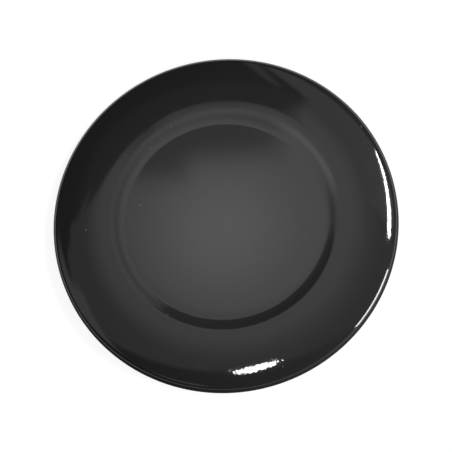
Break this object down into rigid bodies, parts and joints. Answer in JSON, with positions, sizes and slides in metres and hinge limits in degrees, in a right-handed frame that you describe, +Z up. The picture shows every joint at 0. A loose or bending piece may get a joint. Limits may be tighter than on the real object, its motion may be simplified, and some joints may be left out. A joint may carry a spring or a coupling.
{
  "type": "gas burner cap",
  "caption": "Round pressed-steel cap in black gloss enamel, with a shallow round recess, a softly curved ring and a rolled rim. It lies on a gas burner crown and turns the flame outwards.",
  "frame": {"origin": "centre of the circle that the skirt stands on, at the lowest point of the cap", "axes": "+Z up along the axis of revolution, towards the enamelled top; X and Y are free, because the cap is round"},
  "size_m": [0.1, 0.1, 0.0065],
  "materials": {
    "black_enamel": "gloss vitreous enamel, fired on sheet steel"
  },
  "bodies": {
    "root": {"burner_cap": "black_enamel"}
  },
  "joints": []
}
